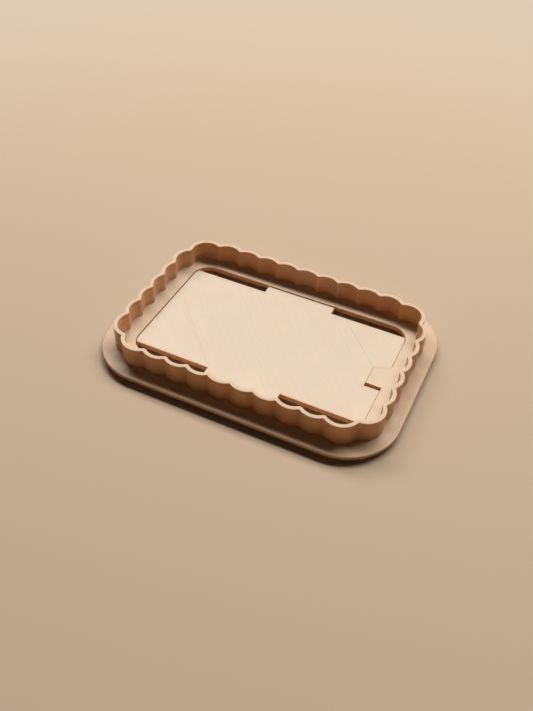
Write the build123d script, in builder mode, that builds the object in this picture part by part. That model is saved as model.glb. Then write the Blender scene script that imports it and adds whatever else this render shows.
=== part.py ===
"""Pastry cutter printed in two pieces, standing with its scalloped cutting wall upwards.

The frame is a flat flange with a rounded window, a raised ledge round that window, a small tongue
that reaches in at the right end, and a thin scalloped wall that cuts the pastry. A press plate fills
the window, guided by one tab in the middle of each long side, and slides up to push the pastry out.
A thinner pad on the back of the plate carries the whole cutter on the table.

Millimetres. +X along the long side, +Z up. The origin is on the table, under the middle of the part.
"""

import os

from build123d import *

# Heights, from the table up
pad_thickness = 1.2
plate_thickness = 2.0
plate_below_ledge = 0.45
ledge_thickness = 1.85
flange_thickness = 1.3
wall_height = 8.2

# Flange outline
flange_length = 112.0
flange_width = 80.3
flange_corner_radius = 20.0
flange_top_round = 0.45
flange_bottom_chamfer = 0.2

# Cutting wall: equal scallops, spaced evenly on a rounded rectangle through their centres
scallop_line_length = 88.6
scallop_line_width = 55.6
scallop_line_radius = 7.3
scallop_count = 33
scallop_radius = 7.0
wall_thickness = 1.4

# Window in the flange, and the plate that slides in it
window_length = 88.2
window_width = 54.2
window_corner_radius = 7.0
sliding_clearance = 0.2
tab_width = 27.8
slot_depth = 3.65
plate_edge_round = 0.15

# Tongue at the right end of the window and the notch that it sits in
tongue_reach = 5.8
tongue_front_y = -5.2
tongue_tip_back_y = 3.5
tongue_root_back_y = 5.8
tongue_front_slit = 1.2
tongue_corner_radius = 0.4

# Pad on the back of the plate
pad_end_margin = 6.5
pad_side_margin = 3.2
pad_corner_radius = 5.0
pad_edge_chamfer = 0.4

# Levels worked out from the heights
plate_bottom_z = pad_thickness
plate_top_z = plate_bottom_z + plate_thickness
ledge_top_z = plate_top_z + plate_below_ledge
frame_bottom_z = ledge_top_z - ledge_thickness
flange_top_z = frame_bottom_z + flange_thickness
wall_top_z = flange_top_z + wall_height
eject_travel = wall_top_z - plate_top_z

# Plan sizes worked out from the outlines
plate_length = window_length - 2 * sliding_clearance
plate_width = window_width - 2 * sliding_clearance
plate_corner_radius = window_corner_radius - sliding_clearance
slot_length = (plate_length - tab_width) / 2
pad_length = plate_length - 2 * pad_end_margin
pad_width = plate_width - 2 * slot_depth - 2 * pad_side_margin
window_end_x = window_length / 2
tongue_tip_x = window_end_x - tongue_reach


def scallop_centres(half_line):
    """Centres along the line: one in the middle of the back side and the rest in mirrored pairs."""
    centres = [half_line @ 0]
    for step in range(1, (scallop_count + 1) // 2):
        centre = half_line @ (2 * step / scallop_count)
        centres += [centre, Vector(-centre.X, centre.Y)]
    return centres


def tongue_outline(gap_front, gap_tip, gap_back):
    """Corners of the tongue, or of the notch round it, from its root on the ledge to its tip."""
    root_x = window_end_x + wall_thickness
    slope = (tongue_root_back_y - tongue_tip_back_y) / tongue_reach
    tip_x = tongue_tip_x - gap_tip
    front_y = tongue_front_y - gap_front
    tip_back_y = tongue_tip_back_y + gap_back - slope * gap_tip
    root_back_y = tip_back_y + slope * (root_x - tip_x)
    return [(root_x, front_y), (tip_x, front_y), (tip_x, tip_back_y), (root_x, root_back_y)]


# Right half of the line through the scallops, from the middle of the back to the middle of the front
with BuildLine() as half_scallop_line:
    FilletPolyline(
        (0, scallop_line_width / 2),
        (scallop_line_length / 2, scallop_line_width / 2),
        (scallop_line_length / 2, -scallop_line_width / 2),
        (0, -scallop_line_width / 2),
        radius=scallop_line_radius,
    )

# Plan of the cutting wall, outside and inside
with BuildSketch() as wall_outside:
    RectangleRounded(scallop_line_length, scallop_line_width, scallop_line_radius)
    with Locations(*scallop_centres(half_scallop_line.wire())):
        Circle(scallop_radius)

with BuildSketch() as wall_inside:
    add(wall_outside.sketch)
    offset(amount=-wall_thickness, kind=Kind.ARC, mode=Mode.REPLACE)

# Flange with the ledge and the tongue
with BuildPart() as base_flange:
    with BuildSketch(Plane.XY.offset(frame_bottom_z)):
        RectangleRounded(flange_length, flange_width, flange_corner_radius)
    extrude(amount=flange_thickness)
    rim_top = base_flange.faces().sort_by(Axis.Z)[-1].edges()
    fillet(rim_top, flange_top_round)
    rim_bottom = base_flange.faces().sort_by(Axis.Z)[0].edges()
    chamfer(rim_bottom, flange_bottom_chamfer)
    with BuildSketch(Plane.XY.offset(frame_bottom_z)):
        add(wall_inside.sketch)
    extrude(amount=ledge_thickness)
    with BuildSketch(Plane.XY.offset(frame_bottom_z)) as window:
        RectangleRounded(window_length, window_width, window_corner_radius)
        with BuildLine():
            Polyline(*tongue_outline(0, 0, 0), close=True)
        make_face(mode=Mode.SUBTRACT)
        tongue_tip_corners = window.vertices().filter_by_position(
            Axis.X, tongue_tip_x - 0.01, tongue_tip_x + 0.01
        )
        fillet(tongue_tip_corners, tongue_corner_radius)
    extrude(amount=ledge_thickness, mode=Mode.SUBTRACT)
base_flange.part.label = "base_flange"

# Scalloped cutting wall, standing on the flange round the ledge
with BuildPart() as cutting_wall:
    with BuildSketch(Plane.XY.offset(flange_top_z)):
        add(wall_outside.sketch)
        add(wall_inside.sketch, mode=Mode.SUBTRACT)
    extrude(amount=wall_height)
cutting_wall.part.label = "cutting_wall"

# Press plate with its two tabs, four slots and the notch for the tongue
with BuildPart() as press_plate:
    with BuildSketch(Plane.XY.offset(plate_bottom_z)) as plate_plan:
        RectangleRounded(plate_length, plate_width, plate_corner_radius)
        slot_x = (tab_width + slot_length) / 2
        slot_y = (plate_width - slot_depth) / 2
        with GridLocations(2 * slot_x, 2 * slot_y, 2, 2):
            Rectangle(slot_length, slot_depth, mode=Mode.SUBTRACT)
        with BuildLine():
            Polyline(
                *tongue_outline(tongue_front_slit, sliding_clearance, sliding_clearance),
                close=True,
            )
        make_face(mode=Mode.SUBTRACT)
    extrude(amount=plate_thickness)
    fillet(press_plate.faces().sort_by(Axis.Z)[-1].edges(), plate_edge_round)
press_plate.part.label = "press_plate"

# Pad on the back of the plate, which carries the cutter on the table
with BuildPart() as push_pad:
    with BuildSketch():
        RectangleRounded(pad_length, pad_width, pad_corner_radius)
    extrude(amount=pad_thickness)
    chamfer(push_pad.faces().sort_by(Axis.Z)[0].edges(), pad_edge_chamfer)
push_pad.part.label = "push_pad"

os.makedirs("parts", exist_ok=True)
for piece in (base_flange, cutting_wall, press_plate, push_pad):
    export_step(piece.part, f"parts/{piece.part.label}.step")

print("plate travels up", round(eject_travel, 3), "mm from level to the cutting edge")
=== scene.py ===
import math
import random

import bmesh
import bpy
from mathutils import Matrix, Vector


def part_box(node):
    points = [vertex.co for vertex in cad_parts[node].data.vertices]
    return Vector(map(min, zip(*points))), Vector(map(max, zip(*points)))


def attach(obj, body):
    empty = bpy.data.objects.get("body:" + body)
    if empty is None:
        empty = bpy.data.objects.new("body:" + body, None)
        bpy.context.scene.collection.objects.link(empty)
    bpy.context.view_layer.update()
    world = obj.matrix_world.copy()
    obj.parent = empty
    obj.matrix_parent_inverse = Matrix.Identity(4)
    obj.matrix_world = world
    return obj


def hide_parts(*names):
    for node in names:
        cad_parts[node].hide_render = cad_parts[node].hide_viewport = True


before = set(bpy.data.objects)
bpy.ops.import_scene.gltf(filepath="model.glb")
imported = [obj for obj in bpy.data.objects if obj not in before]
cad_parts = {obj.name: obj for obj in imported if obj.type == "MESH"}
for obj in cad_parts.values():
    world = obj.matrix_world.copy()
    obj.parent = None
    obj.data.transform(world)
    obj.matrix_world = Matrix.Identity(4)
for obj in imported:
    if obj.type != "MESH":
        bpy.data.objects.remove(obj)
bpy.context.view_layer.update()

bl_info = {
    "name": "Scalloped Pastry Cutter",
    "version": (1, 0, 0),
    "blender": (4, 5, 0),
    "location": "3D View > Sidebar > Pastry Cutter",
    "description": "Builds a printed pastry cutter with its press plate round the packed frame",
    "category": "Object",
}

MM = 0.001

# Levels and outlines of the two prints, in metres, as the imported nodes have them.
FLANGE_LOW, FLANGE_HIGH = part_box("base_flange")
WALL_LOW, WALL_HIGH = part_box("cutting_wall")
_, PLATE_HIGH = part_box("press_plate")
FLANGE_TOP_Z = WALL_LOW.z
LEDGE_TOP_Z = FLANGE_HIGH.z
WALL_TOP_Z = WALL_HIGH.z
PLATE_TOP_Z = PLATE_HIGH.z

# The flange's outline and edges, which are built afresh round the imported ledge.
FLANGE_CORNER_RADIUS = 20.0 * MM
FLANGE_CORNER_STEPS = 28
FLANGE_TOP_ROUND = 0.45 * MM
FLANGE_TOP_ROUND_STEPS = 5
FLANGE_BOTTOM_CHAMFER = 0.2 * MM

# Widths of the lines laid along the edges of the flat tops, from the edge inwards.
FLANGE_EDGE_LINES = (0.30 * MM, 0.38 * MM, 0.38 * MM)
LEDGE_EDGE_LINES = (0.29 * MM,)
PLATE_EDGE_LINES = (0.28 * MM, 0.38 * MM)
WALL_EDGE_LINES = (0.28 * MM,)

# The valley after each of those lines: its width and its depth.
SLAB_VALLEY = (0.08 * MM, 0.02 * MM)
WALL_VALLEY = (0.10 * MM, 0.035 * MM)

# How unevenly the parallel lines lie, in shares of the depth of a valley.
CREST_DROP = (0.0, 0.35)
VALLEY_DROP = (0.7, 1.3)
SEAM_DROP = 1.8
# The plate's inward corners, at the notch and beside a tab, where its laid lines start afresh.
PLATE_INNER_CORNERS = ((37.9 * MM, 3.7 * MM), (-13.8 * MM, -23.1 * MM))

# The wall's layers wander one by one, and drift together over a few of them.
DRIFT_LAYERS = 3
DRIFT_SHARE = 0.5
WALL_EDGE_ROUND = 0.12 * MM
WALL_EDGE_ROUND_STEPS = 2

LINE_SEED = 11
WALL_SEED = 7

# Tolerances for finding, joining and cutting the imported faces.
WELD_DISTANCE = 0.0005 * MM
RIM_WELD_DISTANCE = 0.03 * MM
FLAT_TOLERANCE = 0.0005 * MM
FLAT_NORMAL_Z = 0.99
SIDE_NORMAL_Z = 0.5
UPRIGHT_NORMAL_Z = 0.01
DIAGONAL_RISE = (0.001, 0.999)
LAYER_CUT_TOLERANCE = 0.0001 * MM
LINE_CUT_TOLERANCE = 0.001 * MM
ON_LINE_TOLERANCE = 0.04
MITRE_LIMIT = 1.6
SHARP_ANGLE = math.radians(32)

# Sizes of the patterns in the plastic, and how strongly each one shows.
MOTTLE_SIZE = 11 * MM
STREAK_LENGTH = 18 * MM
STREAK_WIDTH = 0.5 * MM
LAYER_LENGTH = 25 * MM
BAND_LENGTH = 60 * MM
BAND_LAYERS = 3
GRAIN_SIZE = 0.4 * MM
MOTTLE_STRENGTH = 0.08
STREAK_STRENGTH = 0.14
LAYER_STRENGTH = 0.30
BAND_STRENGTH = 0.45
ROUGHNESS_SPREAD = 0.24
GRAIN_RELIEF = 0.5
BUMP_STRENGTH = 0.35
BUMP_DEPTH = 0.03 * MM
SPECULAR_LEVEL = 0.38

# The share of the light that goes through the plastic, more in the thin wall, and how far red,
# green and blue go compared with each other.
WALL_GLOW_SHARE = 0.6
SLAB_GLOW_SHARE = 0.25
GLOW_REACH = (1.0, 0.30, 0.12)

# The camera that took the photograph, found from the cusps of the wall and the plate's edges.
CAMERA_PLACE = (80.99 * MM, -186.96 * MM, 194.74 * MM)
CAMERA_TURN = (math.radians(45.521), math.radians(-1.651), math.radians(25.522))
CAMERA_LENS = 38.775
CAMERA_SENSOR = 36.0
CAMERA_CLIP = (0.01, 20.0)

# The one lamp is a long soft panel behind the cutter, level along its long side.
PANEL_DISTANCE = 1.2
PANEL_HEIGHT_ANGLE = math.radians(56)
PANEL_OFFSET = -0.30
PANEL_SIZE = (2.0, 0.30)
PANEL_COLOUR = (1.0, 0.98, 0.95)

# The floor fades into the pale surroundings between these distances from the cutter.
FLOOR_SIZE = 5.0
FLOOR_ROUGHNESS = 0.75
FADE_START, FADE_END = 0.15, 0.45
SURROUNDINGS_COLOUR = (0.72, 0.60, 0.47)
FILL_COLOUR = (1.0, 0.72, 0.48)


class PrintSettings(bpy.types.PropertyGroup):
    """Sizes of the printed lines and layers, the same on both prints."""

    layer_height: bpy.props.FloatProperty(
        name="Layer height", description="Height of one printed layer",
        default=0.2 * MM, min=0.05 * MM, max=1 * MM, unit="LENGTH", precision=5)
    line_width: bpy.props.FloatProperty(
        name="Line width", description="Width of one laid line of plastic",
        default=0.45 * MM, min=0.2 * MM, max=1 * MM, unit="LENGTH", precision=5)
    line_depth: bpy.props.FloatProperty(
        name="Line depth", description="Depth of the valley between two laid lines",
        default=0.055 * MM, min=0.0, max=0.2 * MM, unit="LENGTH", precision=6)
    layer_wander: bpy.props.FloatProperty(
        name="Layer wander",
        description="How far one layer of a wall stands in or out of the next",
        default=0.04 * MM, min=0.0, max=0.1 * MM, unit="LENGTH", precision=6)
    frame_line_angle: bpy.props.FloatProperty(
        name="Frame line angle",
        description="Direction of the laid lines on the flange, the ledge and the tongue",
        default=math.radians(48), subtype="ANGLE")
    plate_line_angle: bpy.props.FloatProperty(
        name="Plate line angle", description="Direction of the laid lines on the press plate",
        default=math.radians(-47), subtype="ANGLE")


class PlasticSettings(bpy.types.PropertyGroup):
    """Colours and gloss of the plastic, with painted shade on its upright faces and on the flange.
    """

    frame_colour: bpy.props.FloatVectorProperty(
        name="Frame colour", description="Colour of the cutter frame's plastic",
        default=(0.73, 0.57, 0.40), min=0.0, max=1.0, subtype="COLOR")
    # Painted shade: the flange is darker and more orange than the ledge, standing in for the shade
    # the wall casts on it.
    flange_shade_colour: bpy.props.FloatVectorProperty(
        name="Flange colour",
        description="Colour of the flange, smoother and a little darker than the ledge",
        default=(0.68, 0.48, 0.315), min=0.0, max=1.0, subtype="COLOR")
    plate_colour: bpy.props.FloatVectorProperty(
        name="Plate colour", description="Colour of the press plate's plastic",
        default=(0.74, 0.60, 0.455), min=0.0, max=1.0, subtype="COLOR")
    # Painted shade: the upright faces take a darker, more orange colour that stands in for the
    # shade on them.
    painted_side_shade: bpy.props.FloatVectorProperty(
        name="Side tint",
        description="Tint of the upright faces, where the layers let more light through",
        default=(0.98, 0.73, 0.54), min=0.0, max=1.0, subtype="COLOR")
    wall_glow: bpy.props.FloatProperty(
        name="Wall glow", description="How far light passes through the thin wall",
        default=1.4 * MM, min=0.0, max=5 * MM, unit="LENGTH", precision=5)
    slab_glow: bpy.props.FloatProperty(
        name="Slab glow", description="How far light passes through the flange and the plate",
        default=0.4 * MM, min=0.0, max=5 * MM, unit="LENGTH", precision=5)
    roughness: bpy.props.FloatProperty(
        name="Roughness", description="Roughness of the plastic's surface",
        default=0.45, min=0.0, max=1.0)


class StageSettings(bpy.types.PropertyGroup):
    """The floor, the lamp and the light all round."""

    floor_colour: bpy.props.FloatVectorProperty(
        name="Floor colour", description="Colour of the plain floor",
        default=(0.585, 0.44, 0.303), min=0.0, max=1.0, subtype="COLOR")
    lamp_power: bpy.props.FloatProperty(
        name="Lamp power", description="Power of the soft panel behind the cutter",
        default=23.7, min=0.0, unit="POWER")
    fill_strength: bpy.props.FloatProperty(
        name="Fill strength", description="Strength of the even light all round",
        default=0.005, min=0.0, max=2.0)


def node_mesh(node):
    """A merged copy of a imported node's triangles."""
    bm = bmesh.new()
    bm.from_mesh(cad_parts[node].data)
    bmesh.ops.remove_doubles(bm, verts=bm.verts, dist=WELD_DISTANCE)
    return bm


def flat_faces(bm, height):
    """The upward faces that lie at one height."""
    return [f for f in bm.faces if f.normal.z > FLAT_NORMAL_Z
            and all(abs(v.co.z - height) < FLAT_TOLERANCE for v in f.verts)]


def with_edges_and_verts(faces):
    """The faces with their edges and vertices, in the same order on every run."""
    edges = dict.fromkeys(e for f in faces for e in f.edges)
    verts = dict.fromkeys(v for f in faces for v in f.verts)
    return [*faces, *edges, *verts]


def make_side_quads(bm):
    """Takes out the diagonals of the upright faces, so each is one quad."""
    diagonals = []
    for edge in bm.edges:
        if len(edge.link_faces) != 2:
            continue
        if any(abs(f.normal.z) > UPRIGHT_NORMAL_Z for f in edge.link_faces):
            continue
        rise = abs((edge.verts[1].co - edge.verts[0].co).normalized().z)
        if DIAGONAL_RISE[0] < rise < DIAGONAL_RISE[1]:
            diagonals.append(edge)
    bmesh.ops.dissolve_edges(bm, edges=diagonals, use_verts=False, use_face_split=False)


def cut_layers(bm, low, high, step):
    """Cuts the upright faces at every layer."""
    count = round((high - low) / step)
    for i in range(1, count):
        sides = [f for f in bm.faces if abs(f.normal.z) < SIDE_NORMAL_Z]
        bmesh.ops.bisect_plane(
            bm, geom=with_edges_and_verts(sides), dist=LAYER_CUT_TOLERANCE,
            plane_co=(0, 0, low + i * step), plane_no=(0, 0, 1))


def rake_lines(bm, faces, angle, pitch, depth, top, seam_corners=()):
    """Cuts flat faces into parallel lines, with deeper seams that start at the inner corners."""
    across = Vector((-math.sin(angle), math.cos(angle), 0))
    reach = [v.co.dot(across) for f in faces for v in f.verts]
    first = math.floor(2 * min(reach) / pitch)
    last = math.ceil(2 * max(reach) / pitch)
    seams = {2 * round(Vector((*corner, 0)).dot(across) / pitch) for corner in seam_corners}
    dice = random.Random(LINE_SEED)
    drops = {}
    for i in range(first - 1, last + 2):
        drops[i] = depth * dice.uniform(*(CREST_DROP if i % 2 else VALLEY_DROP))
    for i in seams:
        drops[i] = depth * SEAM_DROP
    geom = with_edges_and_verts(faces)
    for i in range(first, last + 1):
        cut = bmesh.ops.bisect_plane(
            bm, geom=geom, dist=LINE_CUT_TOLERANCE,
            plane_co=across * (i * pitch / 2), plane_no=across)
        geom = cut["geom"]
    for v in geom:
        if not isinstance(v, bmesh.types.BMVert) or abs(v.co.z - top) > FLAT_TOLERANCE:
            continue
        place = 2 * v.co.dot(across) / pitch
        if abs(place - round(place)) < ON_LINE_TOLERANCE:
            v.co.z -= drops[round(place)]
    bm.normal_update()


def inner_faces(bm, height):
    """The flat faces at one height that join up with the largest of them."""
    bm.normal_update()
    tops = set(flat_faces(bm, height))
    found = {max(tops, key=lambda f: f.calc_area())}
    queue = list(found)
    while queue:
        for near in {f for e in queue.pop().edges for f in e.link_faces}:
            if near in tops and near not in found:
                found.add(near)
                queue.append(near)
    return [f for f in bm.faces if f in found]


def inset_faces(bm, faces, thickness, height):
    """Insets flat faces to a height, and holds back corners that an even inset throws too far."""
    bmesh.ops.inset_region(bm, faces=faces, use_boundary=True, use_even_offset=True,
                           thickness=thickness, depth=0)
    inner = {v for f in faces for v in f.verts}
    for v in inner:
        v.co.z = height
        for edge in v.link_edges:
            root = edge.other_vert(v)
            if root in inner:
                continue
            step = v.co - root.co
            level = Vector((step.x, step.y, 0))
            if level.length > MITRE_LIMIT * thickness:
                v.co -= level * (1 - MITRE_LIMIT * thickness / level.length)


def inset_lines(bm, faces, height, widths, valley):
    """Lays lines along the edges of flat faces, with a valley after each line."""
    valley_width, valley_depth = valley
    for width in widths:
        inset_faces(bm, faces, width, height)
        inset_faces(bm, faces, valley_width / 2, height - valley_depth)
        inset_faces(bm, faces, valley_width / 2, height)
    if len(faces) > 1:
        inside = set(faces)
        edges = dict.fromkeys(e for f in faces for e in f.edges)
        rim = [e for e in edges if sum(f in inside for f in e.link_faces) == 1]
        bmesh.ops.delete(bm, geom=faces, context="FACES_KEEP_BOUNDARY")
        bmesh.ops.triangle_fill(
            bm, edges=rim, use_beauty=True, use_dissolve=False, normal=(0, 0, 1))


def rounded_slab(bm, length, width, corner, low, high):
    """A slab with rounded corners, and its top face and bottom face."""
    base = bmesh.ops.create_grid(bm, x_segments=1, y_segments=1, size=0.5)["verts"]
    bmesh.ops.scale(bm, verts=base, vec=(length, width, 1))
    bmesh.ops.translate(bm, verts=base, vec=(0, 0, low))
    rounded = bmesh.ops.bevel(bm, geom=base, offset=corner, offset_type="OFFSET",
                              segments=FLANGE_CORNER_STEPS, profile=0.5, affect="VERTICES",
                              material=-1)
    floor = max({f for v in rounded["verts"] for f in v.link_faces}, key=lambda f: f.calc_area())
    raised = bmesh.ops.extrude_face_region(bm, geom=[floor], use_keep_orig=True)["geom"]
    verts = [v for v in raised if isinstance(v, bmesh.types.BMVert)]
    bmesh.ops.translate(bm, verts=verts, vec=(0, 0, high - low))
    roof = next(f for f in raised if isinstance(f, bmesh.types.BMFace))
    slab = dict.fromkeys(f for v in (*floor.verts, *roof.verts) for f in v.link_faces)
    bmesh.ops.recalc_face_normals(bm, faces=list(slab))
    return roof, floor


def round_top_edges(bm, height, radius, steps):
    """Rounds the edges between the top faces at one height and the upright faces."""
    tops = set(flat_faces(bm, height))
    edges = [e for e in bm.edges
             if len(e.link_faces) == 2 and sum(f in tops for f in e.link_faces) == 1]
    bmesh.ops.bevel(bm, geom=edges, offset=radius, offset_type="OFFSET", segments=steps,
                    profile=0.5, affect="EDGES", material=-1, clamp_overlap=True)


def finish_piece(bm, name, node, body, material):
    """Shades the mesh, makes its object and gives it its place in the frame."""
    for face in bm.faces:
        face.smooth = True
    for edge in bm.edges:
        if len(edge.link_faces) == 2 and edge.calc_face_angle(0) > SHARP_ANGLE:
            edge.smooth = False
    mesh = bpy.data.meshes.new(name)
    bm.to_mesh(mesh)
    bm.free()
    piece = bpy.data.objects.new(name, mesh)
    bpy.context.scene.collection.objects.link(piece)
    mesh.materials.append(material)
    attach(piece, body)
    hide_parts(node)
    return piece


class Shader:
    """A short way to write a node material."""

    def __init__(self, name):
        self.material = bpy.data.materials.new(name)
        self.material.use_nodes = True
        self.tree = self.material.node_tree
        self.skin = self.tree.nodes["Principled BSDF"]

    def node(self, kind, **values):
        made = self.tree.nodes.new(kind)
        for key, value in values.items():
            setattr(made, key, value)
        return made

    def link(self, value, socket):
        if hasattr(value, "is_output"):
            self.tree.links.new(value, socket)
        else:
            socket.default_value = value

    def math(self, operation, *values):
        made = self.node("ShaderNodeMath", operation=operation)
        for value, socket in zip(values, made.inputs):
            self.link(value, socket)
        return made.outputs[0]

    def varied(self, *patterns):
        """A brightness of about one, varied by each pattern at its strength."""
        level = 1.0 - sum(strength for _, strength in patterns) / 2
        for pattern, strength in patterns:
            level = self.math("MULTIPLY_ADD", pattern, strength, level)
        return level

    def mapped(self, along, across, up, turn=0.0):
        """Object coordinates counted in features of these sizes, turned about the vertical."""
        place = self.node("ShaderNodeTexCoord").outputs["Object"]
        mapping = self.node("ShaderNodeMapping", vector_type="TEXTURE")
        mapping.inputs["Scale"].default_value = (along, across, up)
        mapping.inputs["Rotation"].default_value = (0, 0, turn)
        self.tree.links.new(place, mapping.inputs["Vector"])
        return mapping.outputs["Vector"]

    def noise(self, vector, detail):
        """Soft noise with features of about one in the given coordinates."""
        made = self.node("ShaderNodeTexNoise")
        made.inputs["Scale"].default_value = 1.0
        made.inputs["Detail"].default_value = detail
        self.tree.links.new(vector, made.inputs["Vector"])
        return made.outputs["Fac"]

    def mix(self, factor, a, b, **values):
        """A mix of two numbers or two colours, which are links or constants."""
        made = self.node("ShaderNodeMix", **values)
        self.link(factor, made.inputs["Factor"])
        self.link(a, made.inputs["A"])
        self.link(b, made.inputs["B"])
        return made.outputs["Result"]


def printed_plastic(name, colour, glow, glow_share, line_angle):
    """Matt printed plastic with laid lines on its tops, and layers and a painted shade tint on its
    sides.
    """
    plastic = bpy.context.scene.cutter_plastic
    layer_height = bpy.context.scene.cutter_print.layer_height
    shader = Shader(name)
    mottle = shader.noise(shader.mapped(MOTTLE_SIZE, MOTTLE_SIZE, MOTTLE_SIZE), 3.0)
    streaks = shader.noise(
        shader.mapped(STREAK_LENGTH, STREAK_WIDTH, STREAK_LENGTH, line_angle), 2.0)
    layers = shader.noise(shader.mapped(LAYER_LENGTH, LAYER_LENGTH, layer_height), 1.0)
    bands = shader.noise(
        shader.mapped(BAND_LENGTH, BAND_LENGTH, BAND_LAYERS * layer_height), 1.0)
    grain = shader.noise(shader.mapped(GRAIN_SIZE, GRAIN_SIZE, GRAIN_SIZE), 2.0)

    normal = shader.node("ShaderNodeSeparateXYZ")
    shader.link(shader.node("ShaderNodeNewGeometry").outputs["Normal"], normal.inputs["Vector"])
    facing_up = shader.math("ABSOLUTE", normal.outputs["Z"])
    top_shade = shader.varied((mottle, MOTTLE_STRENGTH), (streaks, STREAK_STRENGTH))
    side_shade = shader.varied(
        (mottle, MOTTLE_STRENGTH), (layers, LAYER_STRENGTH), (bands, BAND_STRENGTH))
    shade = shader.mix(facing_up, side_shade, top_shade, data_type="FLOAT")
    # The upright faces get the painted shade tint; the tops keep the plain colour.
    painted_side_shade_colour = (*(c * t for c, t in zip(colour, plastic.painted_side_shade)), 1)
    body = shader.mix(facing_up, painted_side_shade_colour, (*colour, 1), data_type="RGBA")
    tint = shader.mix(1.0, body, shade, data_type="RGBA", blend_type="MULTIPLY")
    shader.link(tint, shader.skin.inputs["Base Color"])

    roughness = shader.math(
        "MULTIPLY_ADD", streaks, ROUGHNESS_SPREAD, plastic.roughness - ROUGHNESS_SPREAD / 2)
    shader.link(roughness, shader.skin.inputs["Roughness"])

    relief = shader.math("MULTIPLY_ADD", grain, GRAIN_RELIEF, layers)
    bump = shader.node("ShaderNodeBump")
    bump.inputs["Strength"].default_value = BUMP_STRENGTH
    bump.inputs["Distance"].default_value = BUMP_DEPTH
    shader.link(relief, bump.inputs["Height"])
    shader.link(bump.outputs["Normal"], shader.skin.inputs["Normal"])
    shader.skin.inputs["Subsurface Weight"].default_value = glow_share
    shader.skin.inputs["Subsurface Radius"].default_value = GLOW_REACH
    shader.skin.inputs["Subsurface Scale"].default_value = glow
    shader.skin.inputs["Specular IOR Level"].default_value = SPECULAR_LEVEL
    return shader.material


class BuildStage(bpy.types.Operator):
    """Adds the floor, the lamp, the surroundings and the camera."""

    bl_idname = "pastry_cutter.build_stage"
    bl_label = "Build Stage"

    def execute(self, context):
        settings = context.scene.cutter_stage
        scene = context.scene
        scene.view_settings.view_transform = "Standard"

        self.add_floor(scene, settings.floor_colour)
        self.add_panel(scene, settings.lamp_power)
        self.add_surroundings(scene, settings.fill_strength)

        data = bpy.data.cameras.new("camera")
        data.lens = CAMERA_LENS
        data.sensor_width = CAMERA_SENSOR
        data.sensor_fit = "AUTO"
        data.clip_start, data.clip_end = CAMERA_CLIP
        camera = bpy.data.objects.new("camera", data)
        camera.location = CAMERA_PLACE
        camera.rotation_euler = CAMERA_TURN
        scene.collection.objects.link(camera)
        scene.camera = camera
        return {"FINISHED"}

    @staticmethod
    def shown(tree):
        """One where a thing is seen, also in a reflection or through glass, and otherwise none."""
        seen = tree.nodes.new("ShaderNodeLightPath")
        shown = seen.outputs["Is Camera Ray"]
        for ray in ("Is Glossy Ray", "Is Transmission Ray"):
            either = tree.nodes.new("ShaderNodeMath")
            either.operation = "MAXIMUM"
            tree.links.new(shown, either.inputs[0])
            tree.links.new(seen.outputs[ray], either.inputs[1])
            shown = either.outputs["Value"]
        return shown

    def add_floor(self, scene, colour):
        bm = bmesh.new()
        bmesh.ops.create_grid(bm, x_segments=1, y_segments=1, size=FLOOR_SIZE / 2)
        mesh = bpy.data.meshes.new("floor")
        bm.to_mesh(mesh)
        bm.free()
        floor = bpy.data.objects.new("floor", mesh)
        scene.collection.objects.link(floor)
        shader = Shader("floor_paint")
        shader.skin.inputs["Base Color"].default_value = (*colour, 1)
        shader.skin.inputs["Roughness"].default_value = FLOOR_ROUGHNESS
        reach = shader.node("ShaderNodeVectorMath", operation="LENGTH")
        shader.link(shader.node("ShaderNodeTexCoord").outputs["Object"], reach.inputs[0])
        fade = shader.node("ShaderNodeMapRange", interpolation_type="SMOOTHSTEP")
        shader.link(reach.outputs["Value"], fade.inputs["Value"])
        fade.inputs["From Min"].default_value = FADE_START
        fade.inputs["From Max"].default_value = FADE_END
        pale = shader.node("ShaderNodeEmission")
        pale.inputs["Color"].default_value = (*SURROUNDINGS_COLOUR, 1)
        blend = shader.node("ShaderNodeMixShader")
        paleness = shader.math("MULTIPLY", fade.outputs["Result"], self.shown(shader.tree))
        shader.link(paleness, blend.inputs["Fac"])
        shader.link(shader.skin.outputs["BSDF"], blend.inputs[1])
        shader.link(pale.outputs["Emission"], blend.inputs[2])
        surface = shader.tree.nodes["Material Output"].inputs["Surface"]
        shader.link(blend.outputs["Shader"], surface)
        mesh.materials.append(shader.material)

    def add_surroundings(self, scene, strength):
        world = bpy.data.worlds.new("surroundings")
        scene.world = world
        world.use_nodes = True
        tree = world.node_tree
        light = tree.nodes["Background"]
        light.inputs["Color"].default_value = (*FILL_COLOUR, 1)
        light.inputs["Strength"].default_value = strength
        pale = tree.nodes.new("ShaderNodeBackground")
        pale.inputs["Color"].default_value = (*SURROUNDINGS_COLOUR, 1)
        mix = tree.nodes.new("ShaderNodeMixShader")
        tree.links.new(self.shown(tree), mix.inputs["Fac"])
        tree.links.new(light.outputs["Background"], mix.inputs[1])
        tree.links.new(pale.outputs["Background"], mix.inputs[2])
        tree.links.new(mix.outputs["Shader"], tree.nodes["World Output"].inputs["Surface"])

    @staticmethod
    def add_panel(scene, power):
        data = bpy.data.lights.new("back_panel", "AREA")
        data.shape = "RECTANGLE"
        data.size, data.size_y = PANEL_SIZE
        data.energy = power
        data.color = PANEL_COLOUR
        lamp = bpy.data.objects.new("back_panel", data)
        lamp.location = (PANEL_OFFSET, PANEL_DISTANCE * math.cos(PANEL_HEIGHT_ANGLE),
                         PANEL_DISTANCE * math.sin(PANEL_HEIGHT_ANGLE))
        lamp.rotation_euler = (PANEL_HEIGHT_ANGLE - math.pi / 2, 0, 0)
        scene.collection.objects.link(lamp)


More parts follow.
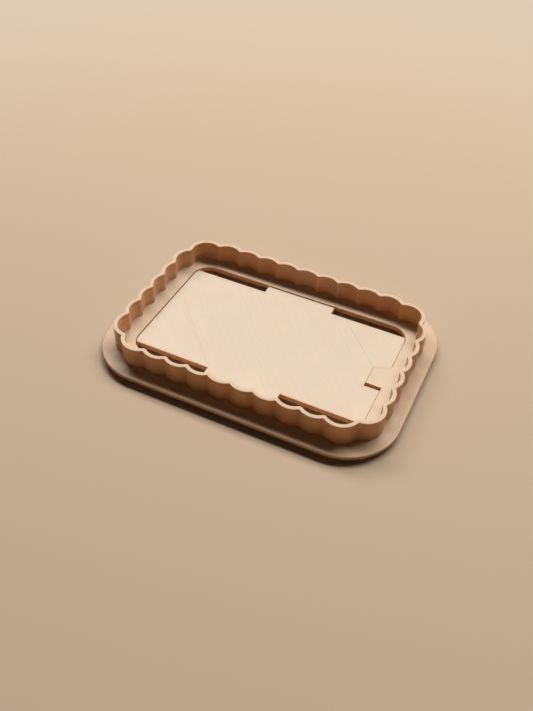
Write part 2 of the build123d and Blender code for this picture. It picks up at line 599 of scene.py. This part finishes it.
class BuildBaseFlange(bpy.types.Operator):
    """Makes the flange with its ledge and tongue, with laid lines on their tops."""

    bl_idname = "pastry_cutter.build_base_flange"
    bl_label = "Build Flange and Ledge"

    def execute(self, context):
        prints = context.scene.cutter_print
        plastic = context.scene.cutter_plastic
        bm = self.ledge_only()
        self.add_rim(bm)
        bm.normal_update()
        ledge = flat_faces(bm, LEDGE_TOP_Z)
        inset_lines(bm, ledge, LEDGE_TOP_Z, LEDGE_EDGE_LINES, SLAB_VALLEY)
        for height in (LEDGE_TOP_Z, FLANGE_TOP_Z):
            rake_lines(bm, inner_faces(bm, height), prints.frame_line_angle,
                       prints.line_width, prints.line_depth, height)
        # The flange's faces take their own material, whose darker colour is painted shade.
        for face in bm.faces:
            on_flange = all(v.co.z < FLANGE_TOP_Z + FLAT_TOLERANCE for v in face.verts)
            face.material_index = 1 if on_flange else 0
        ledge_print = printed_plastic("ledge_print", plastic.frame_colour, plastic.slab_glow,
                                      SLAB_GLOW_SHARE, prints.frame_line_angle)
        flange_painted_shade_print = printed_plastic("flange_painted_shade_print", plastic.flange_shade_colour, plastic.slab_glow,
                                       SLAB_GLOW_SHARE, prints.frame_line_angle)
        piece = finish_piece(bm, "flange_and_ledge", "base_flange", "cutter_frame",
                             ledge_print)
        piece.data.materials.append(flange_painted_shade_print)
        return {"FINISHED"}

    @staticmethod
    def ledge_only():
        """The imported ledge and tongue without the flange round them."""
        bm = node_mesh("base_flange")
        flange = [f for f in bm.faces
                  if all(v.co.z < FLANGE_TOP_Z + FLAT_TOLERANCE for v in f.verts)]
        bmesh.ops.delete(bm, geom=flange, context="FACES")
        return bm

    @staticmethod
    def add_rim(bm):
        """Joins a rounded flange with laid lines along its rim to the ledge."""
        open_edges = [e for e in bm.edges if e.is_boundary]
        length, width = 2 * FLANGE_HIGH.xy
        roof, floor = rounded_slab(
            bm, length, width, FLANGE_CORNER_RADIUS, FLANGE_LOW.z, FLANGE_TOP_Z)
        bmesh.ops.bevel(bm, geom=list(floor.edges), offset=FLANGE_BOTTOM_CHAMFER,
                        offset_type="OFFSET", segments=1, profile=0.5, affect="EDGES", material=-1)
        bmesh.ops.bevel(bm, geom=list(roof.edges), offset=FLANGE_TOP_ROUND, offset_type="OFFSET",
                        segments=FLANGE_TOP_ROUND_STEPS, profile=0.5, affect="EDGES", material=-1)
        roof = max(flat_faces(bm, FLANGE_TOP_Z), key=lambda f: f.calc_area())
        inset_lines(bm, [roof], FLANGE_TOP_Z, FLANGE_EDGE_LINES, SLAB_VALLEY)
        floor = min(bm.faces, key=lambda f: f.calc_center_median().z - f.calc_area())
        rims = {FLANGE_TOP_Z: list(roof.edges), FLANGE_LOW.z: list(floor.edges)}
        bmesh.ops.delete(bm, geom=[roof, floor], context="FACES_ONLY")
        for height, rim in rims.items():
            hole = [e for e in open_edges
                    if all(abs(v.co.z - height) < FLAT_TOLERANCE for v in e.verts)]
            bmesh.ops.triangle_fill(bm, edges=rim + hole, use_beauty=True, use_dissolve=False)
        bmesh.ops.recalc_face_normals(bm, faces=bm.faces)


class BuildCuttingWall(bpy.types.Operator):
    """Makes the scalloped wall out of stacked layers, with laid lines on its top."""

    bl_idname = "pastry_cutter.build_cutting_wall"
    bl_label = "Build Cutting Wall"

    def execute(self, context):
        prints = context.scene.cutter_print
        plastic = context.scene.cutter_plastic
        bm = node_mesh("cutting_wall")
        make_side_quads(bm)
        round_top_edges(bm, WALL_TOP_Z, WALL_EDGE_ROUND, WALL_EDGE_ROUND_STEPS)
        inset_lines(bm, flat_faces(bm, WALL_TOP_Z), WALL_TOP_Z, WALL_EDGE_LINES, WALL_VALLEY)
        cut_layers(bm, WALL_LOW.z, WALL_TOP_Z, prints.layer_height)
        bm.normal_update()
        self.shift_layers(bm, prints.layer_height, prints.layer_wander)
        material = printed_plastic("wall_print", plastic.frame_colour, plastic.wall_glow,
                                   WALL_GLOW_SHARE, prints.frame_line_angle)
        finish_piece(bm, "scalloped_wall", "cutting_wall", "cutter_frame",
                     material)
        return {"FINISHED"}

    @staticmethod
    def shift_layers(bm, layer_height, wander):
        """Draws each layer in by its own small distance, all but the first and the rim."""
        count = round((WALL_TOP_Z - WALL_LOW.z) / layer_height)
        dice = random.Random(WALL_SEED)
        slow = [dice.random() for _ in range(count // DRIFT_LAYERS + 2)]
        shifts = []
        for layer in range(count + 1):
            part, rest = divmod(layer / DRIFT_LAYERS, 1)
            drift = slow[int(part)] * (1 - rest) + slow[int(part) + 1] * rest
            shift = DRIFT_SHARE * drift + (1 - DRIFT_SHARE) * dice.random()
            shifts.append(wander * shift)
        for v in bm.verts:
            layer = round((v.co.z - WALL_LOW.z) / layer_height)
            if layer > 0 and v.co.z < WALL_TOP_Z - WALL_EDGE_ROUND - FLAT_TOLERANCE:
                v.co -= v.normal * shifts[layer]


class BuildPressPlate(bpy.types.Operator):
    """Makes the press plate with laid lines on its top, and finishes the pad under it."""

    bl_idname = "pastry_cutter.build_press_plate"
    bl_label = "Build Press Plate"

    def execute(self, context):
        prints = context.scene.cutter_print
        plastic = context.scene.cutter_plastic
        bm = node_mesh("press_plate")
        rim = dict.fromkeys(v for f in flat_faces(bm, PLATE_TOP_Z) for v in f.verts)
        bmesh.ops.remove_doubles(bm, verts=list(rim), dist=RIM_WELD_DISTANCE)
        top = flat_faces(bm, PLATE_TOP_Z)
        inset_lines(bm, top, PLATE_TOP_Z, PLATE_EDGE_LINES, SLAB_VALLEY)
        rake_lines(bm, inner_faces(bm, PLATE_TOP_Z), prints.plate_line_angle, prints.line_width,
                   prints.line_depth, PLATE_TOP_Z, PLATE_INNER_CORNERS)
        material = printed_plastic("plate_print", plastic.plate_colour, plastic.slab_glow,
                                   SLAB_GLOW_SHARE, prints.plate_line_angle)
        finish_piece(bm, "ribbed_press_plate", "press_plate", "pusher", material)
        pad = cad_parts["push_pad"]
        for i in range(len(pad.data.materials)):
            pad.data.materials[i] = material
        return {"FINISHED"}


class PastryCutterPanel(bpy.types.Panel):
    """Lists the steps that build the cutter."""

    bl_idname = "VIEW3D_PT_pastry_cutter"
    bl_label = "Pastry Cutter"
    bl_space_type = "VIEW_3D"
    bl_region_type = "UI"
    bl_category = "Pastry Cutter"

    def draw(self, context):
        layout = self.layout
        scene = context.scene
        for settings in (scene.cutter_print, scene.cutter_plastic, scene.cutter_stage):
            column = layout.column(align=True)
            for name in settings.__annotations__:
                column.prop(settings, name)
        for step in STEPS:
            layout.operator(step.bl_idname)


STEPS = (BuildStage, BuildBaseFlange, BuildCuttingWall, BuildPressPlate)
CLASSES = (PrintSettings, PlasticSettings, StageSettings, *STEPS, PastryCutterPanel)


def register():
    for cls in CLASSES:
        bpy.utils.register_class(cls)
    bpy.types.Scene.cutter_print = bpy.props.PointerProperty(type=PrintSettings)
    bpy.types.Scene.cutter_plastic = bpy.props.PointerProperty(type=PlasticSettings)
    bpy.types.Scene.cutter_stage = bpy.props.PointerProperty(type=StageSettings)


def unregister():
    del bpy.types.Scene.cutter_stage
    del bpy.types.Scene.cutter_plastic
    del bpy.types.Scene.cutter_print
    for cls in reversed(CLASSES):
        bpy.utils.unregister_class(cls)


def main():
    register()
    bpy.ops.pastry_cutter.build_stage()
    bpy.ops.pastry_cutter.build_base_flange()
    bpy.ops.pastry_cutter.build_cutting_wall()
    bpy.ops.pastry_cutter.build_press_plate()


if __name__ == "__main__":
    main()
